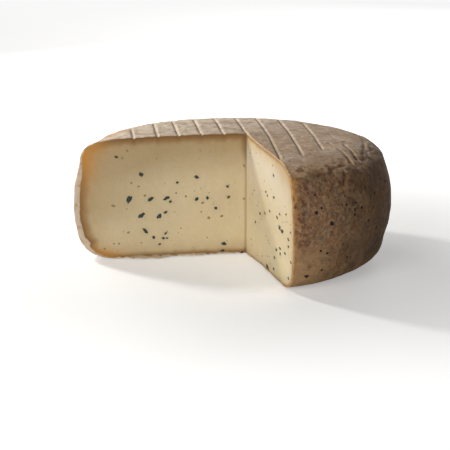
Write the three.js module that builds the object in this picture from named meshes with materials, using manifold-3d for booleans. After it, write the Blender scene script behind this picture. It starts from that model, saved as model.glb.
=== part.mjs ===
// A cheese wheel with one wedge cut out of it, in millimetres, standing on its flat base.
//
// The wheel is one solid: a pressed disc with a low crown, a soft shoulder, a side that bulges a
// little and a rounded heel. Long parallel grooves are pressed into its top, and the wedge was
// cut out with two straight knife strokes that meet near the middle.
import * as THREE from 'three';
import { mergeVertices } from 'three/addons/utils/BufferGeometryUtils.js';
import Module from 'manifold-3d';

// Driving dimensions of the wheel
const RADIUS = 130; // at the widest height of its side
const HEIGHT = 101; // at the middle of the crown
const CROWN_RISE = 1.3; // how far the crown stands above the shoulder's inner edge
const SIDE_BULGE = 5.5; // how far the side swells between the heel and the shoulder
const SHOULDER = { width: 36, drop: 16.5 }; // the rounding from the top into the side
const HEEL = { width: 30, rise: 22 }; // the rounding from the side into the base

// The removed wedge, seen from above and measured from the wheel's own axis
const APEX = { x: 11.4, y: 9.7 }; // where the two strokes meet
const LEFT_STROKE = 189.3; // degrees, counter-clockwise from +X
const RIGHT_STROKE = 284.3;

// The pressed grooves in the top
const GROOVES = 9;
const GROOVE = { width: 3, depth: 1 };
const FIRST_GROOVE_X = -81.2; // the leftmost groove, where it passes the wheel's middle
const GROOVE_PITCH = 18.65;
const GROOVE_LEAN = 5; // degrees that the grooves turn from the Y direction
const GROOVE_REACH = 96; // a groove ends at this distance from the wheel's axis

// How finely the curves are broken into flat faces
const TURN_STEPS = 72;
const CORNER_STEPS = 6;
const SIDE_STEPS = 4;
const CROWN_STEPS = 3;

const PAST = 20; // how far a cutting solid reaches past what it cuts
const wasm = await Module();
wasm.setup();

const radians = THREE.MathUtils.degToRad;

// The wheel's section, from the base's middle out, up the side and back to the top's middle.
function section() {
  const points = [new THREE.Vector2(0, 0)];
  const corner = RADIUS - SIDE_BULGE;
  const shoulderFoot = HEIGHT - CROWN_RISE - SHOULDER.drop;
  for (let step = 0; step <= CORNER_STEPS; step += 1) {
    const turn = (step / CORNER_STEPS) * (Math.PI / 2);
    const r = corner - HEEL.width + HEEL.width * Math.sin(turn);
    points.push(new THREE.Vector2(r, HEEL.rise * (1 - Math.cos(turn))));
  }
  for (let step = 1; step < SIDE_STEPS; step += 1) {
    const part = step / SIDE_STEPS;
    const swell = SIDE_BULGE * (1 - (2 * part - 1) ** 2);
    points.push(new THREE.Vector2(corner + swell, THREE.MathUtils.lerp(HEEL.rise, shoulderFoot, part)));
  }
  const inner = corner - SHOULDER.width;
  for (let step = 0; step <= CORNER_STEPS; step += 1) {
    const turn = (1 - step / CORNER_STEPS) * (Math.PI / 2);
    const r = inner + SHOULDER.width * Math.sin(turn);
    points.push(new THREE.Vector2(r, shoulderFoot + SHOULDER.drop * Math.cos(turn)));
  }
  for (let step = 1; step <= CROWN_STEPS; step += 1) {
    const part = 1 - step / CROWN_STEPS;
    points.push(new THREE.Vector2(inner * part, HEIGHT - CROWN_RISE * part ** 2));
  }
  return points;
}

// The whole wheel before it is cut. A lathe turns about Y, so it is stood up to turn about Z.
function wholeWheel() {
  const wheel = new THREE.LatheGeometry(section(), TURN_STEPS);
  wheel.rotateX(Math.PI / 2);
  return wheel;
}

// An upright prism on the plane outline of the removed wedge.
function wedgeSpace() {
  const reach = 2 * RADIUS;
  const outline = new THREE.Shape();
  outline.moveTo(APEX.x, APEX.y);
  for (const stroke of [LEFT_STROKE, RIGHT_STROKE]) {
    const turn = radians(stroke);
    outline.lineTo(APEX.x + reach * Math.cos(turn), APEX.y + reach * Math.sin(turn));
  }
  const prism = new THREE.ExtrudeGeometry(outline, { depth: HEIGHT + 2 * PAST, bevelEnabled: false });
  prism.translate(0, 0, -PAST);
  return prism;
}

// One upright bar along a groove's line, with its length set by how far the groove reaches.
function grooveBar(index) {
  const across = FIRST_GROOVE_X + index * GROOVE_PITCH;
  const length = 2 * Math.sqrt(Math.max(GROOVE_REACH ** 2 - across ** 2, 0));
  const bar = new THREE.BoxGeometry(GROOVE.width, length, HEIGHT);
  bar.translate(across, 0, HEIGHT);
  bar.rotateZ(radians(GROOVE_LEAN));
  return bar;
}

function solid(geometry) {
  const bare = geometry.clone();
  bare.deleteAttribute('normal');
  bare.deleteAttribute('uv');
  const merged = mergeVertices(bare, 1e-3);
  const mesh = new wasm.Mesh({
    numProp: 3,
    vertProperties: new Float32Array(merged.attributes.position.array),
    triVerts: new Uint32Array(merged.index.array),
  });
  return new wasm.Manifold(mesh);
}

function toGeometry(manifold) {
  const mesh = manifold.getMesh();
  const geometry = new THREE.BufferGeometry();
  geometry.setAttribute('position', new THREE.BufferAttribute(mesh.vertProperties, 3));
  geometry.setIndex(new THREE.BufferAttribute(mesh.triVerts, 1));
  geometry.computeVertexNormals();
  return geometry;
}

// The bars reach down only to a copy of the wheel set one groove depth lower, so that each groove
// keeps its depth as it follows the crown.
function cutWheel() {
  const whole = solid(wholeWheel());
  const lowered = whole.translate([0, 0, -GROOVE.depth]);
  let cut = whole.subtract(solid(wedgeSpace()));
  for (let index = 0; index < GROOVES; index += 1) {
    cut = cut.subtract(solid(grooveBar(index)).subtract(lowered));
  }
  return toGeometry(cut);
}

// The origin is on the surface that the wheel stands on, under the middle of its bounding box.
function centred(geometry) {
  geometry.computeBoundingBox();
  const middle = geometry.boundingBox.getCenter(new THREE.Vector3());
  geometry.translate(-middle.x, -middle.y, -geometry.boundingBox.min.z);
  return geometry;
}

const rind = new THREE.MeshStandardMaterial({ color: '#b9aa92', roughness: 0.8, metalness: 0 });

const cheese = new THREE.Mesh(centred(cutWheel()), rind);
cheese.name = 'cheese_wheel';

const object = new THREE.Group();
object.add(cheese);
export default object;
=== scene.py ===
"""A cheese wheel with one wedge cut out: natural rind, cream paste and dark flecks, in a pale studio."""
import math
import random

import bpy
import numpy as np
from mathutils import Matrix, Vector, noise
from mathutils.bvhtree import BVHTree


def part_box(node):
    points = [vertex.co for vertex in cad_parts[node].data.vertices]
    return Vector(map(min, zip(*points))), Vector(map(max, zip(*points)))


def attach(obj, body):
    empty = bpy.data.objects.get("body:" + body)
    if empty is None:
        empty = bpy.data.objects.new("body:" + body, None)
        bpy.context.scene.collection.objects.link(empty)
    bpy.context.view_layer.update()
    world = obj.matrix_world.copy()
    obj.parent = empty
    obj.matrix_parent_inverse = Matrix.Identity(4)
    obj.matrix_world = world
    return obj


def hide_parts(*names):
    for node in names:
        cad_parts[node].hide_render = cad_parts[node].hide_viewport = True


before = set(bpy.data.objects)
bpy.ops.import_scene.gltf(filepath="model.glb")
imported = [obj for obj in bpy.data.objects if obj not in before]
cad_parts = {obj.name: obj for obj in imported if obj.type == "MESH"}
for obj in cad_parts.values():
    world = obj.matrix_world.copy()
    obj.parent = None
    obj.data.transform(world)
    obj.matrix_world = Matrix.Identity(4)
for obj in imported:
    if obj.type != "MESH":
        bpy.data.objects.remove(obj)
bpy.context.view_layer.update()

# ---------------- the wheel's sizes
# Lengths are millimetres about the wheel's own axis, with the base at height 0. METRE turns them into metres.
METRE = 0.001
LOW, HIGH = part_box("cheese_wheel")
RADIUS = (HIGH.x - LOW.x) / 2 / METRE
AXIS_X = (HIGH.x + LOW.x) / 2 / METRE
AXIS_Y = HIGH.y / METRE - RADIUS
TOP = HIGH.z / METRE

CROWN_RISE = 1.3
SIDE_BULGE = 5.5
SHOULDER_WIDTH = 36.0
SHOULDER_DROP = 16.5
HEEL_WIDTH = 30.0
HEEL_RISE = 22.0
SHOULDER_TOP = TOP - CROWN_RISE
SIDE_TOP = SHOULDER_TOP - SHOULDER_DROP
CROWN_EDGE = RADIUS - SIDE_BULGE - SHOULDER_WIDTH
BASE_EDGE = RADIUS - SIDE_BULGE - HEEL_WIDTH

APEX = np.array([11.4, 9.7])
RIGHT_CUT = math.radians(-75.7)
LEFT_CUT = math.radians(189.3)

# The long grooves run nearly along Y. GROOVE_X is where each one crosses the wheel's middle.
GROOVE_X = [-81.2, -61.0, -44.0, -24.8, -6.3, 12.6, 30.5, 49.2, 67.8]
GROOVE_PITCH = 18.65
GROOVE_SLOPE = 0.086
GROOVE_BEND = 0.00016
GROOVE_DEPTH = 1.1
PAST_GROOVES = 40
BACK_END = 100.0
FRONT_END = 91

# How finely the meshes are divided: counts, then the steps between points.
CURVE_POINTS = 60
SECTION_POINTS = 600
EASED_OVER = 49
COLUMNS = 452
CROWN_ROWS = 112
BASE_ROWS = 44
APEX_STEPS = 76
FACE_RINGS = 50
ROW_STEP = 1.6
SHOULDER_SAVING = 0.55
COLUMN_STEP = 1.45
EDGE_STEP = 0.55
SHARP_ANGLE = math.radians(62)


def smooth_step(low, high, value):
    """0 below low, 1 above high, and a smooth rise between them."""
    share = np.clip((np.asarray(value, float) - low) / (high - low), 0, 1)
    return share * share * (3 - 2 * share)


def hump(centre, width, value):
    """1 at the centre, falling off like a bell on both sides."""
    return np.exp(-(((np.asarray(value, float) - centre) / width) ** 2))


def ahead_of(turn):
    """The level direction at a turn about the axis, as a unit vector in plan."""
    return np.array([math.cos(turn), math.sin(turn)])


def across_of(turn):
    """The level direction square to a turn, towards higher turns."""
    return np.array([-math.sin(turn), math.cos(turn)])


def level(plan):
    """A direction in plan as one in space."""
    return np.append(plan, 0)


def lumps(points, size, octaves=1, shift=0.0):
    """Smooth noise about zero at each point, with lumps about size across."""
    offset = Vector((shift, shift * 0.7, -shift))
    values = [noise.fractal(Vector(p) / size + offset, 1.0, 2.0, octaves) for p in points]
    return np.array(values)


# ---------------- the section
def raw_section():
    """The section from the base's flat up to the crown's edge, as (distance from the axis, height)."""
    corner = RADIUS - SIDE_BULGE
    points = []
    for turn in np.linspace(0, math.pi / 2, CURVE_POINTS):
        points.append((corner - HEEL_WIDTH * (1 - math.sin(turn)), HEEL_RISE * (1 - math.cos(turn))))
    for part in np.linspace(0, 1, CURVE_POINTS)[1:-1]:
        swell = SIDE_BULGE * (1 - (2 * part - 1) ** 2)
        points.append((corner + swell, HEEL_RISE + (SIDE_TOP - HEEL_RISE) * part))
    for turn in np.linspace(math.pi / 2, 0, CURVE_POINTS):
        distance = corner - SHOULDER_WIDTH * (1 - math.sin(turn))
        points.append((distance, SIDE_TOP + SHOULDER_DROP * math.cos(turn)))
    return np.array(points)


def along(points):
    """How far each point lies along the line through them."""
    return np.concatenate([[0], np.cumsum(np.linalg.norm(np.diff(points, axis=0), axis=1))])


def at_distances(points, distances):
    """The points at these distances along the line through the given ones."""
    run = along(points)
    return np.stack([np.interp(distances, run, points[:, axis]) for axis in range(points.shape[1])], 1)


def eased_section():
    """The section with its joins eased by a moving average."""
    points = raw_section()
    fine = at_distances(points, np.linspace(0, along(points)[-1], SECTION_POINTS))
    window = np.hanning(EASED_OVER)
    window /= window.sum()
    half = len(window) // 2
    before = 2 * fine[:1] - fine[half:0:-1]
    after = 2 * fine[-1:] - fine[-2:-half - 2:-1]
    longer = np.concatenate([before, fine, after])
    return np.stack([np.convolve(longer[:, axis], window, "valid") for axis in range(2)], 1)


def section():
    """The eased section's points, closer together on the shoulder, and its outward normals."""
    eased = eased_section()
    run = along(eased)
    stops = [0.0]
    while stops[-1] < run[-1]:
        height = np.interp(stops[-1], run, eased[:, 1])
        stops.append(stops[-1] + ROW_STEP - SHOULDER_SAVING * float(smooth_step(70, 88, height)))
    stops = np.array(stops) * run[-1] / stops[-1]
    spaced = at_distances(eased, stops)
    tangent = np.gradient(spaced, axis=0)
    normal = np.stack([tangent[:, 1], -tangent[:, 0]], 1)
    return spaced, normal / np.linalg.norm(normal, axis=1, keepdims=True)


SECTION, SECTION_NORMALS = section()


# ---------------- the rind's rows
def column_turns():
    """Directions from the apex, from the right cut round to the left one, closer together near the cuts."""
    shares = np.linspace(0, 1, 4000)
    from_cut = np.minimum(shares, 1 - shares) * RADIUS * (LEFT_CUT - RIGHT_CUT)
    spacing = EDGE_STEP + (COLUMN_STEP - EDGE_STEP) * smooth_step(2, 14, from_cut)
    count = np.concatenate([[0], np.cumsum(1 / spacing[1:])])
    turns = RIGHT_CUT + (LEFT_CUT - RIGHT_CUT) * shares
    return np.interp(np.linspace(0, count[-1], COLUMNS + 1), count, turns)


TURNS = column_turns()


def directions(count):
    """Unit vectors in plan from the apex, for a row of this many steps."""
    turns = np.interp(np.linspace(0, 1, count + 1), np.linspace(0, 1, COLUMNS + 1), TURNS)
    return np.stack([np.cos(turns), np.sin(turns)], 1)


def reach(way, distance):
    """How far the circle of this distance about the axis lies from the apex, in each direction."""
    lean = way @ APEX
    return -lean + np.sqrt(lean**2 - APEX @ APEX + distance**2)


def crown_height(plan):
    """The height of the low crown at each point in plan."""
    return TOP - CROWN_RISE * np.minimum((plan**2).sum(1) / CROWN_EDGE**2, 1)


def flat_row(share, edge, count):
    """A row of the crown or of the base: the edge circle drawn in towards the apex."""
    way = directions(count)
    return APEX + way * (share * reach(way, edge))[:, None]


def rind_rows():
    """Rows of points and normals from the base's apex out, up the wall and back to the crown's apex."""
    rows = [(np.array([[*APEX, 0.0]]), np.array([[0, 0, -1.0]]))]
    for share in np.linspace(0, 1, BASE_ROWS + 1)[1:-1]:
        plan = flat_row(share, BASE_EDGE, max(3, round(COLUMNS / 3 * share)))
        rows.append((np.c_[plan, np.zeros(len(plan))], np.tile([0, 0, -1.0], (len(plan), 1))))
    way = directions(COLUMNS)
    for (distance, height), (out, up) in zip(SECTION, SECTION_NORMALS):
        plan = APEX + way * reach(way, distance)[:, None]
        radial = plan / np.linalg.norm(plan, axis=1, keepdims=True)
        rows.append((np.c_[plan, np.full(len(plan), height)], np.c_[radial * out, np.full(len(plan), up)]))
    for share in np.linspace(1, 0, CROWN_ROWS + 1)[1:-1]:
        plan = flat_row(share, CROWN_EDGE, max(3, round(COLUMNS * share)))
        rows.append((np.c_[plan, crown_height(plan)], np.tile([0, 0, 1.0], (len(plan), 1))))
    rows.append((np.array([[*APEX, crown_height(APEX[None])[0]]]), np.array([[0, 0, 1.0]])))
    return rows


def stitch(lower, upper):
    """Faces between two rows of point numbers that run the same way and may differ in length."""
    low_steps, high_steps = len(lower) - 1, len(upper) - 1
    if low_steps == high_steps:
        return [(lower[i], lower[i + 1], upper[i + 1], upper[i]) for i in range(low_steps)]
    faces = []
    i = j = 0
    while i < low_steps or j < high_steps:
        if j == high_steps or (i < low_steps and (i + 0.5) * high_steps <= (j + 0.5) * low_steps):
            faces.append((lower[i], lower[i + 1], upper[j]))
            i += 1
        else:
            faces.append((lower[i], upper[j + 1], upper[j]))
            j += 1
    return faces


# ---------------- the rind's relief
def groove_phase(points):
    """Counts the long grooves across the crown: a whole number is the middle of a groove."""
    across = points[:, 0] + GROOVE_SLOPE * points[:, 1] + GROOVE_BEND * points[:, 1] ** 2
    last = len(GROOVE_X) - 1
    past = PAST_GROOVES / GROOVE_PITCH
    places = [GROOVE_X[0] - PAST_GROOVES, *GROOVE_X, GROOVE_X[-1] + PAST_GROOVES]
    return np.interp(across, places, [-past, *range(last + 1), last + past])


def groove_strength(points, phase):
    """1 along a groove, easing to 0 at its ends and outside the pattern."""
    distance = np.linalg.norm(points[:, :2], axis=1)
    front_end = FRONT_END - 0.14 * np.clip(points[:, 0] - 35, 0, 60)
    end = np.where(points[:, 1] > 0, BACK_END, front_end)
    strength = 1 - smooth_step(-8, 2, distance - end)
    nearest = np.round(phase)
    return strength * ((nearest >= 0) & (nearest < len(GROOVE_X)) & (points[:, 2] > SIDE_TOP))


# Short pressed nicks on the shoulder: where each begins and ends in plan, and its depth.
NICKS = [
    ((89.3, -20.0), (98.5, -63.0), 1.3),
    ((83.0, -37.0), (92.3, -70.0), 1.1),
    ((102.0, -42.0), (103.5, -54.0), 0.8),
    ((79.5, 24.0), (83.0, 4.0), 0.35),
    ((77.0, -12.0), (80.5, -34.0), 0.3),
    ((94.5, -30.0), (99.0, -46.0), 0.4),
    ((107.5, -24.0), (107.0, -44.0), 0.8),
    ((112.0, -2.0), (111.5, -26.0), 0.6),
]


def nick_across(points, start, end):
    """Signed distance to a nick's line, and how much of the nick is there."""
    start, end = np.array(start), np.array(end)
    length = np.linalg.norm(end - start)
    way = (end - start) / length
    offset = points[:, :2] - start
    run = offset @ way
    across = offset @ np.array([-way[1], way[0]])
    inside = smooth_step(-3, 4, run) * (1 - smooth_step(length - 4, length + 2, run))
    return across, inside * (points[:, 2] > SIDE_TOP - 5)


# Creases and cracks in the rind: the (x, y, height) of both ends, then its depth and its half-width.
CREASES = [
    ((74.4, -89.8, 93.7), (85.6, -76.5, 94.6), 1.1, 1.2),
    ((62.0, -102.0, 90.5), (73.0, -93.0, 92.5), 0.7, 1.2),
    ((85.6, -85.5, 91.0), (84.3, -92.4, 82.4), 1.3, 1.3),
    ((88.5, -80.5, 92.5), (93.5, -78.5, 91.0), 0.8, 1.2),
    ((94.0, -75.0, 93.0), (99.5, -65.0, 93.5), 0.7, 1.2),
    ((100.5, -58.0, 94.5), (104.0, -50.0, 93.0), 0.9, 1.3),
    ((109.0, -28.0, 95.5), (113.0, -14.0, 94.0), 0.9, 1.4),
    ((89.7, -10.2, 99.3), (90.3, -9.4, 99.3), 1.4, 1.4),
    ((108.0, -46.0, 90.0), (110.5, -44.0, 80.0), 0.6, 1.2),
    ((107.0, 12.0, 96.5), (105.5, -21.0, 97.0), 0.8, 1.2),
    ((105.5, -21.0, 97.0), (102.6, -41.0, 95.5), 1.0, 1.3),
]


def from_segment(points, start, end):
    """Each point's distance from the straight piece between two ends."""
    start, end = np.array(start), np.array(end)
    way = end - start
    share = np.clip((points - start) @ way / (way @ way), 0, 1)
    return np.linalg.norm(points - start - np.outer(share, way), axis=1)


def creases(points):
    """How deep the listed creases are at each point, with their lines wandering a little."""
    wander = points + np.stack([lumps(points, 5, 1, shift) for shift in (1.1, 2.7, 5.3)], 1) * 1.2
    depth = np.zeros(len(points))
    for start, end, deepest, half_width in CREASES:
        near = deepest * np.exp(-((from_segment(wander, start, end) / half_width) ** 2))
        depth = np.maximum(depth, near)
    return depth


def wrinkles(points):
    """Fine dry wrinkles that run round the shoulder, strongest at the front right."""
    turn = np.arctan2(points[:, 1], points[:, 0])
    section_place = np.hypot(*points[:, :2].T) - 1.3 * points[:, 2]
    wrapped = np.stack([np.cos(turn) * 60, np.sin(turn) * 60, section_place], 1)
    line = np.clip(1 - np.abs(lumps(wrapped, 13, 2, 3.3)) / 0.07, 0, 1)
    ring = hump(93, 5.5, points[:, 2]) * smooth_step(90, 104, np.hypot(*points[:, :2].T))
    front_right = 0.35 + 0.65 * hump(math.radians(-42), 0.5, turn)
    return line * ring * front_right


def groove_shape(across, depth):
    """A pressed valley with a raised lip on its +X side."""
    return -depth * hump(-0.4, 1.1, across) + 0.12 * depth * hump(1.7, 0.8, across)


def pits(points, size, share, depth):
    """Small round pits in some of the cells of a loose pattern."""
    sink = np.zeros(len(points))
    for index, point in enumerate(points):
        gaps, centres = noise.voronoi(Vector(point) / size)
        if noise.noise(centres[0] * 7.3) > share:
            sink[index] = -depth * math.exp(-((gaps[0] / 0.22) ** 2))
    return sink


def rind_relief(points):
    """How far the rind stands out at each point: lumps, pits, creases, wrinkles, grooves and nicks."""
    crown = smooth_step(SIDE_TOP, SHOULDER_TOP, points[:, 2])
    above_base = smooth_step(0, 8, points[:, 2])
    relief = (0.9 - 0.5 * crown) * lumps(points, 46, 2)
    relief += (0.42 - 0.2 * crown) * lumps(points, 15, 2, 3.1)
    relief += 0.13 * lumps(points, 5.5, 2, 8.4)
    relief += (0.10 - 0.04 * crown) * lumps(points, 2.4, 1, 5.7)
    relief += 0.45 * hump(90, 9, points[:, 2]) * lumps(points, 11, 2, 6.1)
    turn = np.arctan2(points[:, 1], points[:, 0])
    front_right = hump(math.radians(-32), 0.6, turn)
    relief += (0.25 + 0.55 * front_right) * hump(93, 6.5, points[:, 2]) * lumps(points, 5.0, 2, 12.6)
    relief += pits(points, 9.0, 0.22, 0.55) - creases(points) - 0.35 * wrinkles(points)
    phase = groove_phase(points)
    strength = groove_strength(points, phase)
    relief += strength * groove_shape((phase - np.round(phase)) * GROOVE_PITCH, GROOVE_DEPTH)
    for start, end, depth in NICKS:
        across, inside = nick_across(points, start, end)
        relief += inside * groove_shape(across, depth)
    return relief * (0.15 + 0.85 * above_base)


# How far the left cut's outer edge is rounded back, by height: the rind curls in there.
CURL_HEIGHTS = [0, 4, 8, 10.5, 12, 17, 18.5, 26, 36, 48, 60, 69, 77, 84, 91, 96]
CURL_DEPTHS = [0.8, 2.2, 3.6, 4.2, 7.2, 6.8, 5.0, 4.6, 4.6, 5.2, 4.7, 4.2, 2.9, 1.7, 1.1, 0.3]
EDGE_ROUNDING = 0.7

# How much fuller the left side stands than the wheel's own section, by height.
FULLER_HEIGHTS = [0, 6, 14, 21, 31, 44, 56, 70]
FULLER_OUT = [0, 2.2, 3.4, 3.6, 2.9, 1.7, 0.9, 0]

# How far the right cut's foot leans back into the wheel, and the height where the lean ends.
RIGHT_LEAN = 2.4
LEAN_TOP = 64.0


def cut_gap(points, cut):
    """How far each point lies from a cut, measured across it, or from the apex behind it."""
    offset = points[:, :2] - APEX
    return np.hypot(offset @ across_of(cut), np.minimum(offset @ ahead_of(cut), 0))


def cut_rounding(points, cut, depths):
    """How far the rind is drawn in near a cut, as the quarter of an ellipse."""
    width = np.maximum(depths * 0.9, 0.5)
    share = np.clip(1 - cut_gap(points, cut) / width, 0, 1)
    return -depths * (1 - np.sqrt(1 - share**2))


def left_settling(points):
    """How far the rind stands out by the left cut: up at the top edge, slack behind it, fuller below."""
    gap = cut_gap(points, LEFT_CUT)
    distance = np.linalg.norm(points[:, :2], axis=1)
    height = points[:, 2]
    ragged = 0.3 * lumps(points, 7.0, 2, 4.4) * np.exp(-gap / 5)
    lift = smooth_step(76, 92, height) * (1.75 * hump(0, 13, gap) + ragged)
    corner = 1.3 * hump(93.5, 4.5, height) * smooth_step(98, 106, distance) * hump(0, 14, gap)
    slack = 2.7 * hump(34, 16, gap) * hump(91, 8, height) * smooth_step(90, 106, distance)
    fuller = np.interp(height, FULLER_HEIGHTS, FULLER_OUT) * hump(0, 48, gap)
    return lift + corner - slack + fuller


def right_lean(points):
    """How far each point shifts sideways where the right cut leans back."""
    ahead = (points[:, :2] - APEX) @ ahead_of(RIGHT_CUT)
    low = np.clip(1 - points[:, 2] / LEAN_TOP, 0, 1) ** 1.5
    return RIGHT_LEAN * low * smooth_step(4, 45, ahead) * np.exp(-cut_gap(points, RIGHT_CUT) / 20)


def rind_points():
    """The rind's points, the same points before they moved, and the point numbers of each row."""
    rows = rind_rows()
    base = np.concatenate([row[0] for row in rows])
    normals = np.concatenate([row[1] for row in rows])
    ends = np.cumsum([len(row[0]) for row in rows])
    numbers = [list(range(end - len(row[0]), end)) for end, row in zip(ends, rows)]
    ragged = lumps(base, 3.0, 2, 11.0)
    curl = np.interp(base[:, 2], CURL_HEIGHTS, CURL_DEPTHS) + 0.35 * ragged
    move = rind_relief(base) + left_settling(base)
    move += cut_rounding(base, LEFT_CUT, np.maximum(curl, 0.3))
    move += cut_rounding(base, RIGHT_CUT, EDGE_ROUNDING + 0.5 * ragged)
    points = base + normals * move[:, None]
    for cut, column in ((RIGHT_CUT, 0), (LEFT_CUT, -1)):
        side = across_of(cut)
        edge = [row[column] for row in numbers]
        points[edge, :2] -= np.outer((points[edge, :2] - APEX) @ side, side)
    points[:, :2] += np.outer(right_lean(points), across_of(RIGHT_CUT))
    points[:, 2] = np.maximum(points[:, 2], 0)
    return points, base, numbers


# ---------------- the cut faces
FACE_HALF = 50.0  # from a cut face's edge to its centre


def ring_of(loop, centre, share, count):
    """The closed loop drawn in towards its centre, with its points spread evenly by number."""
    spots = np.linspace(0, len(loop), count, endpoint=False)
    closed = np.concatenate([loop, loop[:1]])
    numbers = np.arange(len(closed))
    even = np.stack([np.interp(spots, numbers, closed[:, axis]) for axis in range(3)], 1)
    return centre + (even - centre) * share


def distance_to_line(points, line):
    """Each point's distance from a line of closely spaced points."""
    nearest = np.full(len(points), 1e9)
    for spot in line:
        nearest = np.minimum(nearest, ((points - spot) ** 2).sum(1))
    return np.sqrt(nearest)


def face_relief(points, outward, from_edge):
    """Knife marks and gentle unevenness of a cut face."""
    swell = 0.5 * lumps(points, 38, 2, 2.2) + 0.12 * lumps(points, 9, 2, 6.6)
    swell += 0.04 * lumps(points, 2.6, 1, 1.4)
    stretched = points * np.array([0.12, 0.12, 1.0])
    drag = 0.07 * lumps(stretched, 1.9, 2, 9.9)
    return points + np.outer((swell + drag) * smooth_step(0, 5, from_edge), outward)


def foot_lip(points):
    """How far a torn lip of base rind sticks out along the foot of a cut face, most of all on the left."""
    plan = points * np.array([1, 1, 0])
    left = smooth_step(-104, -84, plan[:, 0]) * (1 - smooth_step(APEX[0] - 12, APEX[0] - 3, plan[:, 0]))
    middle = 0.45 + 0.55 * hump(-62, 26, plan[:, 0])
    torn = 0.3 + 0.5 * lumps(plan, 16.0, 1, 14.2) + left * middle * (5.0 + 7.0 * lumps(plan, 12.0, 2, 15.4))
    return np.clip(torn, 0, 8) * (1 - smooth_step(1.3, 2.7, points[:, 2]))


def cut_face(loop_numbers, points, rim, outward):
    """The points and faces that fill a cut face inside its loop, and the points' depths under the rind."""
    loop = points[loop_numbers]
    centre = (loop.min(0) + loop.max(0)) / 2
    first = len(points)
    rings, made, levels = [list(loop_numbers)], [], []
    for inset in np.linspace(0, 1, FACE_RINGS + 1)[1:-1] ** 1.5:
        share = 1 - inset
        ring = ring_of(loop, centre, share, max(6, round(len(loop) * share)))
        rings.append(list(range(first, first + len(ring))))
        made.append(ring)
        levels.append(np.full(len(ring), inset * FACE_HALF))
        first += len(ring)
    made.append(centre[None])
    levels.append([FACE_HALF])
    new_points = np.concatenate(made)
    depth = distance_to_line(new_points, points[rim])
    new_points = face_relief(new_points, outward, np.concatenate(levels))
    new_points += np.outer(foot_lip(new_points), outward)
    faces = []
    for outer, inner in zip(rings, rings[1:]):
        faces += stitch(outer + outer[:1], inner + inner[:1])
    last = rings[-1]
    faces += [(last[i], last[(i + 1) % len(last)], first) for i in range(len(last))]
    return new_points, faces, depth


def fleck_stain(points, cut, flecks):
    """A soft halo round each listed fleck of one cut face, as the largest at each point."""
    ahead = level(ahead_of(cut))
    stain = np.zeros(len(points))
    for run, height, size, *_ in flecks:
        spot = np.array([*APEX, height]) + ahead * run
        distance = np.linalg.norm(points - spot, axis=1)
        stain = np.maximum(stain, hump(0, 0.55 * size + 1.0, distance))
    return stain


def ripe_marks(points, depth, left, from_apex):
    """Marks for the riper paste under the rind: a narrow band and a wide haze."""
    height = points[:, 2]
    outer = smooth_step(95, 122, np.linalg.norm(points[:, :2], axis=1))
    upper = smooth_step(60, 92, height)
    low = 1 - smooth_step(4, 30, height)
    ragged = 1 + 0.3 * lumps(points, 7, 2, 7.7)
    band = np.where(left, 6.8 + 2.4 * outer + 1.2 * upper - 1.4 * low, 2.6 + 1.2 * upper) * ragged
    front_top = hump(112, 22, from_apex) * hump(92, 10, height)
    reach_in = np.where(left, 9.0 + 7.0 * outer, 4.5 + 11.0 * front_top) * ragged
    return {"ripe_rim": 1 - smooth_step(0.15 * band, band, depth), "ripe_wide": np.exp(-depth / reach_in)}


def left_marks(points, depth, left, from_apex):
    """Marks for the left face's amber corners, its dark edge line, brown with painted shadow under the rind,
    and its painted shade, and for a little shade on the right.
    """
    height = points[:, 2]
    corner = hump(-118, 15, points[:, 0]) * hump(88, 23, height)
    low_corner = 0.8 * hump(-106, 15, points[:, 0]) * hump(4, 8, height)
    glow = left * np.clip(corner * hump(0, 13, depth) + low_corner * hump(0, 9, depth), 0, 1)
    # The dark line under the rim is partly brown ripening and partly painted shadow under the rind's edge,
    # widest at the top.
    edge_width = 2.0 + 0.9 * smooth_step(84, 96, height)
    edge = left * hump(0, edge_width, depth) * (1 - np.clip(1.2 * corner, 0, 1))
    outward = smooth_step(45, 128, from_apex) * (0.35 + 0.65 * smooth_step(15, 50, height))
    shade = left * np.clip(0.95 * smooth_step(56, 97, height) + 0.78 * outward, 0, 1)
    shade += ~left * 0.4 * hump(112, 26, from_apex) * hump(90, 18, height)
    return {"glow": glow, "rim_line_and_shadow": edge, "shade": shade}


def paste_marks(points, depth):
    """Marks from 0 to 1 for where the paste's colour changes."""
    left = (cut_gap(points, LEFT_CUT) < 4) & (points[:, 0] < APEX[0] - 0.02)
    height = points[:, 2]
    from_apex = np.linalg.norm(points[:, :2] - APEX, axis=1)
    # Painted shade in the inner corner where the two cut faces meet, wider and stronger near the top.
    seam_top = smooth_step(75, 93, height)
    seam = hump(0, 1.5 + 2.7 * seam_top, from_apex) * (0.6 + 0.4 * seam_top)
    left_stain = fleck_stain(points, LEFT_CUT, LEFT_FLECKS)
    right_stain = fleck_stain(points, RIGHT_CUT, RIGHT_FLECKS)
    return {
        **ripe_marks(points, depth, left, from_apex),
        **left_marks(points, depth, left, from_apex),
        "seam": seam * np.where(left, 1.0, 0.3),
        "stain": np.maximum(left_stain, right_stain),
        "foot_lip": smooth_step(0.6, 1.4, foot_lip(points)),
        "creamy": ~left * smooth_step(48, 88, height) * smooth_step(3, 12, depth),
    }


# ---------------- the whole wheel
def crease_marks(base):
    """Marks on the rind for each nick's pale lip, a painted highlight, and for the painted shade in its dark
    valley, the creases and the wrinkles.
    """
    pale = np.zeros(len(base))
    dark = np.clip(creases(base) + 0.6 * wrinkles(base), 0, 1)
    for start, end, depth in NICKS:
        across, inside = nick_across(base, start, end)
        strength = inside * min(depth / 1.2, 1)
        pale = np.maximum(pale, strength * hump(1.3, 0.8, across))
        dark = np.maximum(dark, 0.8 * strength * hump(-0.5, 0.9, across))
    return pale, dark


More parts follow.
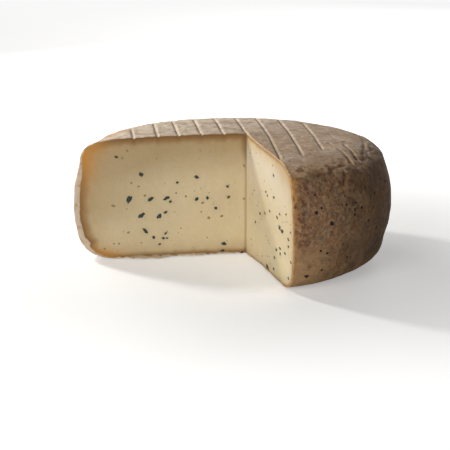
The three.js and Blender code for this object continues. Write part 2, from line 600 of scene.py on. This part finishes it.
def wheel_marks(base, points, depth):
    """Every mark on the wheel's points. The first points are the rind's, and base is where they came from."""
    pale, dark = crease_marks(base)
    phase = groove_phase(points)
    past_rind = np.zeros(len(points) - len(base))
    unmoved = np.concatenate([base, points[len(base):]])
    return {
        "groove_phase": phase,
        "groove_strength": np.append(groove_strength(base, phase[:len(base)]), past_rind),
        "nick": np.append(pale, past_rind),
        "painted_crease_shade": np.append(dark, past_rind),
        **paste_marks(points, depth),
        "from_right_cut": cut_gap(unmoved, RIGHT_CUT),
        "from_left_cut": cut_gap(unmoved, LEFT_CUT),
    }


def fill_cuts(points, rows):
    """The points with those of the seam and both cut faces added, their depths, and the cut faces."""
    ends = [rows[0][0], rows[-1][0]]
    bottom, top = points[ends]
    seam = bottom + (top - bottom) * np.linspace(0, 1, APEX_STEPS + 1)[1:-1, None]
    seam_numbers = list(range(len(points), len(points) + len(seam)))
    depth = np.append(np.zeros(len(points)), distance_to_line(seam, points[ends]))
    points = np.concatenate([points, seam])
    right_rim = [row[0] for row in rows]
    left_rim = [row[-1] for row in rows]
    loops = (
        (right_rim + seam_numbers[::-1], right_rim, -level(across_of(RIGHT_CUT))),
        (left_rim[::-1] + seam_numbers, left_rim, level(across_of(LEFT_CUT))),
    )
    faces = []
    for loop, rim, outward in loops:
        new_points, new_faces, new_depth = cut_face(loop, points, rim, outward)
        points = np.concatenate([points, new_points])
        depth = np.append(depth, new_depth)
        faces += new_faces
    return points, depth, faces


def build_wheel():
    """The whole wheel as one closed mesh, with the rind in slot 0 and the paste in slot 1."""
    points, base, rows = rind_points()
    rind_faces = []
    for lower, upper in zip(rows, rows[1:]):
        rind_faces += stitch(lower, upper)
    points, depth, paste_faces = fill_cuts(points, rows)
    slots = [0] * len(rind_faces) + [1] * len(paste_faces)
    return points, rind_faces + paste_faces, slots, wheel_marks(base, points, depth)


def to_frame(points):
    """Millimetres about the wheel's axis as metres in the shared frame."""
    return (np.asarray(points) + np.array([AXIS_X, AXIS_Y, 0])) * METRE


def make_piece(name, points, faces, slots, materials, marks=None):
    """A piece of the wheel with its materials, and its marks as point attributes."""
    mesh = bpy.data.meshes.new(name)
    mesh.from_pydata(to_frame(points).tolist(), [], faces)
    for material in materials:
        mesh.materials.append(material)
    mesh.polygons.foreach_set("material_index", slots)
    mesh.polygons.foreach_set("use_smooth", [True] * len(faces))
    for mark, values in (marks or {}).items():
        mesh.attributes.new(mark, "FLOAT", "POINT").data.foreach_set("value", values.astype(np.float32))
    mesh.set_sharp_from_angle(angle=SHARP_ANGLE)
    piece = bpy.data.objects.new(name, mesh)
    bpy.context.scene.collection.objects.link(piece)
    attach(piece, "root")
    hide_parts("cheese_wheel")


# ---------------- shader helpers
class Bench:
    """Adds nodes to one material or group. All but node and feed return the new node's output."""

    def __init__(self, tree):
        self.tree = tree

    def node(self, kind, inputs=None, **settings):
        node = self.tree.nodes.new(kind)
        for name, value in settings.items():
            setattr(node, name, value)
        for key, value in (inputs or {}).items():
            self.feed(node.inputs[key], value)
        return node

    def feed(self, socket, value):
        if isinstance(value, bpy.types.NodeSocket):
            self.tree.links.new(value, socket)
        elif isinstance(value, tuple) and len(socket.default_value) == 4:
            socket.default_value = (*value, 1)
        else:
            socket.default_value = value

    def math(self, operation, first, second=0.0, clamp=False):
        inputs = {0: first, 1: second}
        return self.node("ShaderNodeMath", inputs, operation=operation, use_clamp=clamp).outputs[0]

    def times(self, first, second):
        return self.math("MULTIPLY", first, second)

    def ramp(self, value, low, high, start=0.0, end=1.0):
        inputs = {"Value": value, "From Min": low, "From Max": high, "To Min": start, "To Max": end}
        return self.node("ShaderNodeMapRange", inputs, interpolation_type="SMOOTHSTEP").outputs["Result"]

    def mix(self, base, colour, share):
        return self.node("ShaderNodeMix", {0: share, 6: base, 7: colour}, data_type="RGBA").outputs[2]

    def mark(self, name):
        return self.node("ShaderNodeAttribute", attribute_name=name).outputs["Fac"]

    def use(self, group, **inputs):
        return self.node("ShaderNodeGroup", inputs, node_tree=group).outputs[0]


def new_group(name, values, output):
    """An empty shader node group for a place and these values, with its bench and its sockets inside."""
    group = bpy.data.node_groups.new(name, "ShaderNodeTree")
    group.interface.new_socket("Place", in_out="INPUT", socket_type="NodeSocketVector")
    for title, value in values.items():
        socket = group.interface.new_socket(title, in_out="INPUT", socket_type="NodeSocketFloat")
        socket.default_value = value
    group.interface.new_socket(output, in_out="OUTPUT", socket_type="NodeSocketFloat")
    bench = Bench(group)
    inside = bench.node("NodeGroupInput").outputs
    outside = bench.node("NodeGroupOutput").inputs[0]
    return group, bench, inside, outside


def patches_group():
    """Soft patches of one size: a mask that rises from 0 to 1 as the noise goes from Low to High."""
    values = {"Size": 0.01, "Seed": 0.0, "Low": 0.45, "High": 0.65}
    group, bench, inside, outside = new_group("soft_patches", values, "Mask")
    scale = bench.math("DIVIDE", 1.0, inside["Size"])
    texture = {"Vector": inside["Place"], "W": inside["Seed"], "Scale": scale, "Detail": 2.0}
    texture["Roughness"] = 0.5
    cloud = bench.node("ShaderNodeTexNoise", texture, noise_dimensions="4D").outputs["Fac"]
    bench.feed(outside, bench.ramp(cloud, inside["Low"], inside["High"]))
    return group


def specks_group():
    """Scattered specks with ragged outlines, in a share of the cells of a loose pattern."""
    values = {"Spacing": 0.01, "Seed": 0.0, "Radius": 0.15, "Share": 0.4}
    group, bench, inside, outside = new_group("ragged_specks", values, "Mask")
    scale = bench.math("DIVIDE", 1.0, inside["Spacing"])
    wobbling = {"Vector": inside["Place"], "Scale": bench.times(scale, 5.0), "Detail": 2.0}
    wobble = bench.node("ShaderNodeTexNoise", wobbling).outputs["Fac"]
    texture = {"Vector": inside["Place"], "W": inside["Seed"], "Scale": scale}
    cells = bench.node("ShaderNodeTexVoronoi", texture, voronoi_dimensions="4D")
    chance = bench.node("ShaderNodeSeparateColor", {0: cells.outputs["Color"]}).outputs
    chosen = bench.math("LESS_THAN", chance[0], inside["Share"])
    size = bench.times(inside["Radius"], bench.ramp(chance[1], 0.0, 1.0, 0.4, 1.4))
    edge = bench.math("ADD", cells.outputs["Distance"], bench.times(wobble, size))
    spot = bench.ramp(edge, bench.times(size, 1.3), bench.times(size, 1.65), 1.0, 0.0)
    bench.feed(outside, bench.times(spot, chosen))
    return group


def grain_group():
    """Fine surface grain: a height from two sizes of noise."""
    values = {"Coarse": 0.003, "Fine": 0.0008, "Fine Share": 0.35}
    group, bench, inside, outside = new_group("surface_grain", values, "Height")
    layers = []
    for size, detail in (("Coarse", 3.0), ("Fine", 1.0)):
        scale = bench.math("DIVIDE", 1.0, inside[size])
        texture = {"Vector": inside["Place"], "Scale": scale, "Detail": detail, "Roughness": 0.6}
        layers.append(bench.node("ShaderNodeTexNoise", texture).outputs["Fac"])
    fine = bench.times(layers[1], inside["Fine Share"])
    bench.feed(outside, bench.math("ADD", layers[0], fine))
    return group


PATCHES = patches_group()
SPECKS = specks_group()
GRAIN = grain_group()


class Finish(Bench):
    """A material's bench: layers of colour over a base colour, then grain and roughness."""

    def __init__(self, name, base, **shader_values):
        self.material = bpy.data.materials.new(name)
        self.material.use_nodes = True
        super().__init__(self.material.node_tree)
        self.shader = self.tree.nodes["Principled BSDF"]
        for key, value in shader_values.items():
            self.feed(self.shader.inputs[key.replace("_", " ")], value)
        self.place = self.node("ShaderNodeTexCoord").outputs["Object"]
        self.colour = base

    def patches(self, size, seed, low=0.45, high=0.65):
        return self.use(PATCHES, Place=self.place, Size=size * METRE, Seed=seed, Low=low, High=high)

    def specks(self, spacing, seed, radius, share):
        spacing *= METRE
        return self.use(SPECKS, Place=self.place, Spacing=spacing, Seed=seed, Radius=radius, Share=share)

    def axes(self):
        return self.node("ShaderNodeSeparateXYZ", {0: self.place}).outputs

    def over(self, place, low, high, start=0.0, end=1.0):
        """A ramp between two places along an axis, in millimetres."""
        return self.ramp(place, low * METRE, high * METRE, start, end)

    def layer(self, colour, mask, strength=1.0):
        share = self.math("MULTIPLY", mask, strength, clamp=True)
        self.colour = self.mix(self.colour, colour, share)

    def blotches(self, *rows, within=None):
        """Layers of patches, all over or within a mask: colour, strength, size, seed, low and high."""
        for colour, strength, *patch in rows:
            mask = self.patches(*patch)
            self.layer(colour, mask if within is None else self.times(within, mask), strength)

    def done(self, coarse, fine, depth, rough_low, rough_high, rough_size=6.0):
        """Finishes the material: its colour, grain of these sizes and depth, and patchy roughness."""
        self.feed(self.shader.inputs["Base Color"], self.colour)
        rough = self.patches(rough_size, 9.0, 0.3, 0.7)
        self.feed(self.shader.inputs["Roughness"], self.ramp(rough, 0.0, 1.0, rough_low, rough_high))
        height = self.use(GRAIN, Place=self.place, Coarse=coarse * METRE, Fine=fine * METRE)
        bump = self.node("ShaderNodeBump", {"Height": height, "Distance": depth * METRE, "Strength": 1.0})
        self.feed(self.shader.inputs["Normal"], bump.outputs[0])
        return self.material


# ---------------- the finishes
DARK_MOTTLE = ((0.10, 0.10, 0.07), 0.6, 1.6, 41.0, 0.48, 0.68)
OLIVE_MOTTLE = ((0.21, 0.15, 0.07), 0.7, 1.8, 42.0, 0.45, 0.65)
RIND_MOTTLE = ((0.085, 0.075, 0.065), 0.6, 2.0, 43.0, 0.5, 0.7)
# The flecks' finishes in the order of their slots: name, colour, gloss, mottle, grain depth and roughness.
FLECK_FINISHES = [
    ("dark_fleck", (0.030, 0.044, 0.042), 0.4, DARK_MOTTLE, 0.2, 0.45, 0.7),
    ("olive_fleck", (0.37, 0.275, 0.135), 0.35, OLIVE_MOTTLE, 0.15, 0.45, 0.65),
    ("rind_fleck", (0.030, 0.022, 0.018), 0.3, RIND_MOTTLE, 0.2, 0.6, 0.8),
]
# The paste's marked colours from the lowest layer up: mark, colour and strength.
PASTE_LAYERS = [
    ("creamy", (0.76, 0.68, 0.56), 0.6),
    ("stain", (0.50, 0.43, 0.25), 0.3),
    ("shade", (0.475, 0.352, 0.193), 0.9),
    ("ripe_wide", (0.46, 0.315, 0.15), 0.8),
    ("ripe_rim", (0.34, 0.178, 0.055), 0.88),
    # Partly brown rim and partly painted shadow under the rind's edge.
    ("rim_line_and_shadow", (0.23, 0.12, 0.04), 0.8),
    ("glow", (0.63, 0.295, 0.058), 0.86),
    # Painted shade along the seam where the two cut faces meet.
    ("seam", (0.235, 0.14, 0.05), 0.9),
]


def rind_top(finish, axes):
    """The dust-toned taupe top with darker blotches, painted paler at the back left and browner at the front
    right as painted light and sheen falling off from the back left.
    """
    # Painted light: the top runs from browner at the front right to paler at the back left, as the back-left
    # light and its sheen fall.
    back_left = finish.math("SUBTRACT", axes[1], axes[0])
    painted_back_left_light = finish.over(back_left, -100, 110)
    finish.colour = finish.mix((0.55, 0.375, 0.235), (0.77, 0.635, 0.485), painted_back_left_light)
    finish.blotches(
        ((0.80, 0.66, 0.50), 0.5, 24, 1.0, 0.46, 0.66),
        ((0.40, 0.26, 0.165), 0.55, 12, 2.0, 0.48, 0.66),
        ((0.36, 0.235, 0.15), 0.48, 4.6, 3.0, 0.5, 0.64),
        ((0.82, 0.69, 0.53), 0.55, 5.2, 4.0, 0.54, 0.70),
        ((0.38, 0.30, 0.15), 0.5, 7, 5.0, 0.60, 0.72),
        ((0.27, 0.165, 0.10), 0.38, 2.4, 7.0, 0.55, 0.7),
    )
    finish.layer((0.12, 0.07, 0.045), finish.specks(13, 6.0, 0.08, 0.4), 0.75)


def rind_side(finish, axes):
    """The brown, mottled side, with busy zones of dark and pale blotches."""
    finish.colour = (0.41, 0.23, 0.113)
    by_cut = finish.ramp(finish.mark("from_right_cut"), 12.0, 60.0, 0.5, 0.0)
    busy = finish.math("ADD", finish.patches(36, 10.0, 0.42, 0.66), by_cut, clamp=True)
    finish.blotches(((0.47, 0.225, 0.10), 0.55, 19, 11.0, 0.40, 0.62))
    finish.blotches(((0.30, 0.205, 0.12), 0.55, 15, 12.0, 0.44, 0.64))
    finish.layer((0.25, 0.145, 0.08), finish.over(axes[1], -85, -25), 0.42)
    finish.layer((0.27, 0.195, 0.135), finish.over(axes[1], -20, 60), 0.5)
    finish.blotches(((0.54, 0.35, 0.195), 0.5, 6.5, 18.0, 0.48, 0.64))
    finish.blotches(((0.19, 0.10, 0.052), 0.55, 7.0, 13.0, 0.46, 0.60), within=busy)
    finish.blotches(((0.56, 0.37, 0.21), 0.45, 3.0, 14.0, 0.50, 0.64))
    finish.blotches(((0.13, 0.065, 0.038), 0.7, 3.4, 15.0, 0.52, 0.61), within=busy)
    finish.blotches(((0.20, 0.11, 0.055), 0.5, 2.0, 19.0, 0.53, 0.63))


def rind_side_zones(finish, axes):
    """Reddish blotches high up by the right cut, painted shade on the rind far from it, darker towards the
    front and towards the base, dull grey patches and specks.
    """
    from_cut = finish.mark("from_right_cut")
    blotched = finish.times(finish.ramp(from_cut, 3.0, 30.0, 1.0, 0.0), finish.over(axes[2], 24, 44))
    finish.blotches(
        ((0.20, 0.095, 0.055), 0.4, 7.5, 20.0, 0.45, 0.58),
        ((0.15, 0.058, 0.036), 0.75, 3.4, 29.0, 0.49, 0.57),
        within=blotched,
    )
    # Painted shade: far from the right cut the side is darkened towards the front and towards the base.
    far = finish.ramp(from_cut, 30.0, 90.0)
    finish.layer((0.17, 0.105, 0.06), finish.times(far, finish.over(axes[1], -10, -50)), 0.3)
    finish.layer((0.20, 0.13, 0.08), finish.times(far, finish.over(axes[2], 55, 20)), 0.4)
    finish.blotches(((0.14, 0.125, 0.10), 0.4, 4.2, 17.0, 0.60, 0.67))
    finish.layer((0.05, 0.03, 0.022), finish.specks(14, 16.0, 0.10, 0.5), 0.8)


def rind_low(finish, axes):
    """Golden rind near the base, most of all by the right cut."""
    low = finish.over(axes[2], 4, 22, 1.0, 0.0)
    finish.blotches(((0.62, 0.40, 0.17), 0.6, 8, 21.0, 0.35, 0.6), within=low)
    by_cut = finish.ramp(finish.mark("from_right_cut"), 14.0, 44.0, 1.0, 0.0)
    low_front = finish.times(by_cut, finish.over(axes[2], 26, 44, 1.0, 0.0))
    finish.blotches(((0.58, 0.36, 0.175), 0.6, 7, 28.0, 0.25, 0.5), within=low_front)


def rind_by_cuts(finish, axes):
    """The side's pale band by the left cut, the rind's own beige with painted light from the left, and its
    amber edge at the right one.
    """
    # The pale band is partly the rind's beige and partly painted light where the light from the left falls on
    # it.
    pale = finish.ramp(finish.mark("from_left_cut"), 10.0, 34.0, 1.0, 0.0)
    finish.blotches(((0.60, 0.48, 0.362), 0.85, 6, 22.0, 0.2, 0.5), within=pale)
    near_cut = finish.ramp(finish.mark("from_right_cut"), 0.5, 9.0, 1.0, 0.0)
    near_cut = finish.times(near_cut, finish.patches(4, 26.0, 0.3, 0.55))
    high = finish.over(axes[2], 60, 84, 0.35, 0.85)
    finish.layer((0.68, 0.35, 0.11), finish.times(near_cut, high))


def rind_shoulder(finish, axes, on_top):
    """The amber line along the right cut's top edge, and the tan ring with dark spots round the shoulder."""
    top_edge = finish.times(on_top, finish.ramp(finish.mark("from_right_cut"), 0.6, 2.6, 1.0, 0.0))
    finish.layer((0.55, 0.345, 0.18), top_edge, 0.72)
    ring = finish.times(on_top, finish.over(axes[2], 95, 99.5, 1.0, 0.0))
    finish.layer((0.80, 0.495, 0.265), ring, 0.7)
    finish.blotches(((0.20, 0.115, 0.065), 0.7, 5.5, 24.0, 0.48, 0.58), within=ring)


def rind_grooves(finish):
    """A dark line of painted shade in each groove's valley and a narrow pale one on its lip, partly paler
    rind and partly painted highlight, both a little broken.
    """
    phase = finish.mark("groove_phase")
    across = finish.math("SUBTRACT", phase, finish.math("ROUND", phase))
    across = finish.math("ADD", across, finish.times(finish.patches(4, 25.0, 0.2, 0.8), 0.025))
    strength = finish.times(finish.mark("groove_strength"), finish.patches(7, 27.0, 0.2, 0.45))
    # Painted highlight on each groove's lip, partly paler rind.
    lip = finish.times(finish.ramp(across, 0.005, 0.035), finish.ramp(across, 0.055, 0.095, 1.0, 0.0))
    finish.layer((0.80, 0.69, 0.55), finish.times(lip, strength), 0.22)
    # Painted shade in each groove's valley.
    valley = finish.times(finish.ramp(across, -0.1, -0.05), finish.ramp(across, -0.03, 0.01, 1.0, 0.0))
    finish.layer((0.23, 0.135, 0.08), finish.times(valley, strength), 0.75)


def make_rind():
    """The natural rind: its side below, its top above, then the grooves, nicks and creases, with their
    painted shade and highlights.
    """
    finish = Finish("rind_skin", (0.4, 0.3, 0.2), Specular_IOR_Level=0.35)
    axes = finish.axes()
    rind_side(finish, axes)
    rind_side_zones(finish, axes)
    rind_low(finish, axes)
    rind_by_cuts(finish, axes)
    side = finish.colour
    rind_top(finish, axes)
    wobble = finish.times(finish.patches(12, 23.0, 0.25, 0.75), 9 * METRE)
    on_top = finish.over(finish.math("ADD", axes[2], wobble), SIDE_TOP + 10, SIDE_TOP + 17)
    finish.colour = finish.mix(side, finish.colour, on_top)
    rind_shoulder(finish, axes, on_top)
    rind_grooves(finish)
    # Painted highlight on each nick's lip, where it faces the light.
    finish.layer((0.72, 0.57, 0.41), finish.mark("nick"), 0.25)
    # Painted shade in the creases, wrinkles and nick valleys.
    finish.layer((0.16, 0.07, 0.03), finish.mark("painted_crease_shade"), 0.75)
    return finish.done(3.2, 1.0, 0.5, 0.62, 0.85)


def make_paste():
    """The cream paste, with its riper rim, amber corners, fleck stains and torn foot; painted shade on the
    seam, the left face and under the rind's edge; painted bounce light lower down.
    """
    finish = Finish(
        "cream_paste", (0.735, 0.613, 0.393), Subsurface_Weight=0.25, Subsurface_Radius=(1.0, 0.6, 0.25),
        Subsurface_Scale=3.0 * METRE, Specular_IOR_Level=0.35,
    )
    finish.blotches(
        ((0.69, 0.56, 0.35), 0.6, 34, 31.0, 0.35, 0.65),
        ((0.78, 0.67, 0.475), 0.4, 7, 32.0, 0.5, 0.7),
        ((0.62, 0.485, 0.29), 0.3, 2.4, 33.0, 0.55, 0.72),
    )
    # Painted bounce light: the paste is painted paler towards the bottom.
    finish.layer((0.825, 0.705, 0.455), finish.over(finish.axes()[2], 8, 50, 0.8, 0.0))
    for mark, colour, strength in PASTE_LAYERS:
        finish.layer(colour, finish.mark(mark), strength)
    finish.blotches(((0.76, 0.64, 0.48), 0.85, 5, 34.0, 0.3, 0.5), within=finish.mark("foot_lip"))
    return finish.done(3.0, 0.9, 0.22, 0.42, 0.58, 12.0)


def make_fleck(name, colour, gloss, mottle, depth, rough_low, rough_high):
    """A fleck's finish: its colour with one row of blotches, fine grain and patchy roughness."""
    finish = Finish(name, colour, Specular_IOR_Level=gloss)
    finish.blotches(mottle)
    return finish.done(0.9, 0.4, depth, rough_low, rough_high, 2.0)


# ---------------- the flecks
# Where the larger flecks show on each cut face: (distance from the cut's inner edge, height, size), and
# for some the lean of their longer axis in degrees.
LEFT_FLECKS = [
    (88, 71, 4.2, 45), (98, 50, 6.2, 120), (80, 50, 4.6, 145), (67, 50, 4.2, 160), (64, 47, 2.8),
    (58, 63, 2.6), (42, 67, 4.0, 20), (42, 48, 4.0), (33, 49, 3.2), (16, 58, 2.6), (15, 49, 2.8),
    (26, 40, 3.0), (88, 36, 5.4, 135), (73, 35, 4.8), (68, 38, 3.2, 140), (85, 23, 4.8, 60),
    (78, 17, 3.2), (68, 20, 2.6), (70, 16, 2.8), (67, 16, 2.2), (73, 11, 2.4), (19, 9, 4.4),
    (20, 3, 4.6), (108, 86, 3.4), (4, 1, 2.6),
]
LEFT_OLIVE = [
    (103, 85, 2.2), (99, 91, 2.0), (96, 64, 2.2), (90, 61, 1.8), (85, 53, 2.2), (59, 54, 1.8),
    (51, 51, 1.8), (37, 45, 2.2), (32, 32, 2.6), (21, 33, 2.4), (111, 45, 2.6), (99, 22, 2.0),
    (119, 9, 2.2), (107, 13, 1.8), (111, 13, 1.6), (2, 75, 2.4), (2, 47, 2.0),
]
RIGHT_FLECKS = [
    (80, 84, 2.6), (58, 66, 2.4), (63, 64, 2.4), (82, 67, 2.6), (55, 48, 2.4), (41, 44, 2.6),
    (70, 53, 2.6), (97, 57, 2.6), (90, 53, 2.6), (115, 61, 2.2), (28, 34, 2.2), (96, 46, 3.4),
    (104, 45, 4.6), (128, 50, 2.0), (121, 43, 2.8), (121, 37, 2.6), (96, 29, 2.8), (96, 25, 2.4),
    (110, 29, 2.6), (85, 25, 2.8), (79, 17, 2.6), (76, 7, 2.8), (57, 4, 5.0), (126, 26, 2.4),
    (117, 11, 2.6),
]
# Flecks in the side rind: (direction in degrees, height, size).
SIDE_FLECKS = [
    (-55, 55, 3.6), (-59, 68, 2.4), (-61, 65, 3.4), (-61, 78, 2.6), (-48, 67, 2.4), (-43, 67, 2.4),
    (-44, 62, 2.6), (-44, 58, 2.4), (-40, 62, 3.0), (-31, 69, 2.6), (-19, 73, 3.4), (-36, 50, 2.6),
    (-36, 45, 2.2), (-59, 35, 2.8), (-56, 32, 2.6), (-45, 24, 2.4), (-57, 18, 2.2), (-63, 15, 4.4),
]
DARK, OLIVE, RIND_DARK = range(3)
SMALL_LEFT = 34
SMALL_RIGHT = 40
MORE_ON_SIDE = 70
SMALL_SIZES = [0.8, 1.0, 1.0, 1.3, 1.7]
SIDE_SIZES = [1.4, 1.8, 2.2, 2.6, 3.4]
FLECK_SEED = 4
FLECK_CORNERS = 11
FLECK_RISE = 0.16
FLECK_DEPTH = 1.1
LOWEST_FLECK = 0.05
UPRIGHT = np.array([0, 0, 1.0])


def fleck_outline(size, lean, chance):
    """A ragged outline with a few flat sides, longer along its lean (in degrees) than across."""
    longer = chance.uniform(1.0, 1.35) if lean is None else 1.5
    lean = chance.uniform(0, math.tau) if lean is None else math.radians(lean)
    corners = []
    for step in range(FLECK_CORNERS):
        turn = math.tau * (step + chance.uniform(-0.3, 0.3)) / FLECK_CORNERS
        radius = size * 0.42 * chance.uniform(0.62, 1.15)
        a, b = radius * math.cos(turn) * longer, radius * math.sin(turn) / longer**0.5
        corners.append((a * math.cos(lean) - b * math.sin(lean), a * math.sin(lean) + b * math.cos(lean)))
    return corners


def fleck_solid(spot, across, outward, outline):
    """A small closed chip sunk into the surface at a spot, with a low rounded top."""
    levels = [(0.55, -FLECK_DEPTH), (1.0, -0.3), (0.93, FLECK_RISE * 0.6), (0.6, FLECK_RISE)]
    points = []
    for share, lift in levels:
        points += [spot + across * a * share + UPRIGHT * b * share + outward * lift for a, b in outline]
    count = len(outline)
    faces = [tuple(range(count))[::-1], tuple(range(3 * count, 4 * count))]
    for step in range(3):
        low, high = step * count, (step + 1) * count
        for i in range(count):
            j = (i + 1) % count
            faces.append((low + i, low + j, high + j, high + i))
    return points, faces


def rim_reach(cut, height):
    """How far the wheel goes out from the apex along a cut at this height."""
    distance = np.interp(height, SECTION[:, 1], SECTION[:, 0])
    return float(reach(ahead_of(cut)[None], distance)[0])


def small_face_flecks(cut, count, chance):
    """Many small flecks over a cut face, as (distance from its inner edge, height, size)."""
    flecks = []
    while len(flecks) < count:
        run = chance.uniform(4, 128)
        height = chance.uniform(6, 94)
        if run < rim_reach(cut, height) - 4:
            flecks.append((run, height, chance.choice(SMALL_SIZES)))
    return flecks


def more_side_flecks(chance):
    """More flecks round the rest of the side rind."""
    flecks = []
    for _ in range(MORE_ON_SIDE):
        flecks.append((chance.uniform(-10, 175), chance.uniform(12, 84), chance.choice(SIDE_SIZES)))
    return flecks


def fleck_places(chance):
    """Each fleck in turn: a spot outside the surface, the ways out of and across it, size, lean and slot."""
    small_left = small_face_flecks(LEFT_CUT, SMALL_LEFT, chance)
    small_right = small_face_flecks(RIGHT_CUT, SMALL_RIGHT, chance)
    # Each group: its cut, the open side, the stretch along the cut, how much larger, its flecks and its slot.
    groups = (
        (LEFT_CUT, 1, 1.0, 1.1, LEFT_FLECKS, DARK),
        (LEFT_CUT, 1, 1.0, 1.35, LEFT_OLIVE, OLIVE),
        (LEFT_CUT, 1, 1.0, 1.1, small_left, OLIVE),
        (RIGHT_CUT, -1, 1.9, 1.15, RIGHT_FLECKS, DARK),
        (RIGHT_CUT, -1, 1.9, 1.1, small_right, OLIVE),
    )
    for cut, side, stretch, larger, flecks, slot in groups:
        ahead, outward = level(ahead_of(cut)), side * level(across_of(cut))
        for run, height, size, *lean in flecks:
            start = level(APEX) + ahead * run + UPRIGHT * height + outward * 6
            yield start, outward, ahead * stretch, size * larger, lean[0] if lean else None, slot
    for turn, height, size in SIDE_FLECKS + more_side_flecks(chance):
        outward = level(ahead_of(math.radians(turn)))
        across = level(across_of(math.radians(turn)))
        start = outward * (RADIUS + 10) + UPRIGHT * height
        yield start, outward, across, size * 1.25, None, RIND_DARK


def build_flecks(surface):
    """All the flecks as closed chips, each set on the wheel's real surface."""
    chance = random.Random(FLECK_SEED)
    points, faces, slots = [], [], []
    for start, outward, across, size, lean, slot in fleck_places(chance):
        spot = surface.ray_cast(Vector(start), Vector(-outward))[0]
        if spot is None:
            continue
        outline = fleck_outline(size, lean, chance)
        new_points, new_faces = fleck_solid(np.array(spot), across, outward, outline)
        faces += [tuple(len(points) + corner for corner in face) for face in new_faces]
        slots += [slot] * len(new_faces)
        points += new_points
    points = np.array(points)
    points[:, 2] = np.maximum(points[:, 2], LOWEST_FLECK)
    return points, faces, slots


def make_cheese():
    """The wheel's body, then the flecks set into it."""
    points, faces, slots, marks = build_wheel()
    make_piece("cheese_wheel_body", points, faces, slots, [make_rind(), make_paste()], marks)
    surface = BVHTree.FromPolygons([Vector(point) for point in points], faces)
    finishes = [make_fleck(*values) for values in FLECK_FINISHES]
    make_piece("herb_flecks", *build_flecks(surface), finishes)


# ---------------- the studio
CAMERA_LENS = 126.7
CAMERA_RISE = math.radians(14.3)
CAMERA_AWAY = 1.3135
CAMERA_AIM = [-6.5, 0, 26.9]
FLOOR_HALF = 30.0
LIGHT_COLOUR = (1.0, 0.985, 0.965)
# The lights: name, direction, distance in metres, power and width.
LIGHTS = [
    ("key", (-0.69, 0.45, 0.56), 0.9, 4.5, 0.13),
    ("window", (-0.62, 0.75, 0.28), 1.1, 5.5, 0.7),
    ("front_fill", (-0.5, -0.85, 0.22), 1.7, 18.0, 1.1),
    ("left_fill", (-0.85, -0.5, 0.3), 1.7, 2.0, 1.0),
    ("back_rim", (0.4, 0.9, 0.4), 1.7, 6.0, 1.0),
]


def make_camera():
    camera = bpy.data.cameras.new("camera")
    camera.lens = CAMERA_LENS
    camera.sensor_width = 36
    camera.clip_end = 50
    holder = bpy.data.objects.new("camera", camera)
    bpy.context.scene.collection.objects.link(holder)
    away = Vector((0, -math.cos(CAMERA_RISE), math.sin(CAMERA_RISE)))
    holder.location = Vector(to_frame(CAMERA_AIM)) + away * CAMERA_AWAY
    holder.rotation_euler = (math.pi / 2 - CAMERA_RISE, 0, 0)
    bpy.context.scene.camera = holder


def make_floor():
    """A wide pale floor. The camera sees it lifted towards white away from the wheel, like a studio sweep,
    and less lifted near the wheel as a painted soft shadow round it.
    """
    mesh = bpy.data.meshes.new("floor")
    corners = [(x * FLOOR_HALF, y * FLOOR_HALF, 0) for x, y in ((-1, -1), (1, -1), (1, 1), (-1, 1))]
    mesh.from_pydata(corners, [], [(0, 1, 2, 3)])
    material = bpy.data.materials.new("studio_floor")
    material.use_nodes = True
    bench = Bench(material.node_tree)
    shader = bench.tree.nodes["Principled BSDF"]
    shader.inputs["Base Color"].default_value = (0.84, 0.835, 0.82, 1)
    shader.inputs["Roughness"].default_value = 0.9
    shader.inputs["Emission Color"].default_value = (1, 1, 1, 1)
    seen = bench.node("ShaderNodeLightPath").outputs["Is Camera Ray"]
    place = bench.node("ShaderNodeTexCoord").outputs["Object"]
    away = bench.node("ShaderNodeVectorMath", {0: place}, operation="LENGTH").outputs["Value"]
    # Painted shade: the lift is smaller near the wheel, which paints a soft shadow round it.
    near = bench.ramp(away, 0.14, 0.42, 0.36, 0.66)
    far = bench.ramp(away, 0.5, 3.0, 0.0, 0.34)
    bench.feed(shader.inputs["Emission Strength"], bench.times(seen, bench.math("ADD", near, far)))
    mesh.materials.append(material)
    floor = bpy.data.objects.new("floor", mesh)
    bpy.context.scene.collection.objects.link(floor)


def add_light(name, direction, distance, energy, size):
    """A round soft light this far out in a direction, turned towards the wheel."""
    light = bpy.data.lights.new(name, "AREA")
    light.energy = energy
    light.color = LIGHT_COLOUR
    light.shape = "DISK"
    light.size = size
    holder = bpy.data.objects.new(name, light)
    way = Vector(direction).normalized()
    holder.location = way * distance + Vector((0, 0, 0.05))
    holder.rotation_euler = (-way).to_track_quat("-Z", "Y").to_euler()
    bpy.context.scene.collection.objects.link(holder)


def make_lights():
    """The lights, and a surrounding that is white to the camera but lights the wheel only faintly."""
    for light in LIGHTS:
        add_light(*light)
    world = bpy.data.worlds.new("studio")
    world.use_nodes = True
    bench = Bench(world.node_tree)
    background = world.node_tree.nodes["Background"]
    background.inputs["Color"].default_value = (1, 1, 1, 1)
    seen = bench.node("ShaderNodeLightPath").outputs["Is Camera Ray"]
    bench.feed(background.inputs["Strength"], bench.ramp(seen, 0.0, 1.0, 0.03, 1.0))
    bpy.context.scene.world = world
    bpy.context.scene.view_settings.view_transform = "Standard"


make_camera()
make_floor()
make_lights()
make_cheese()
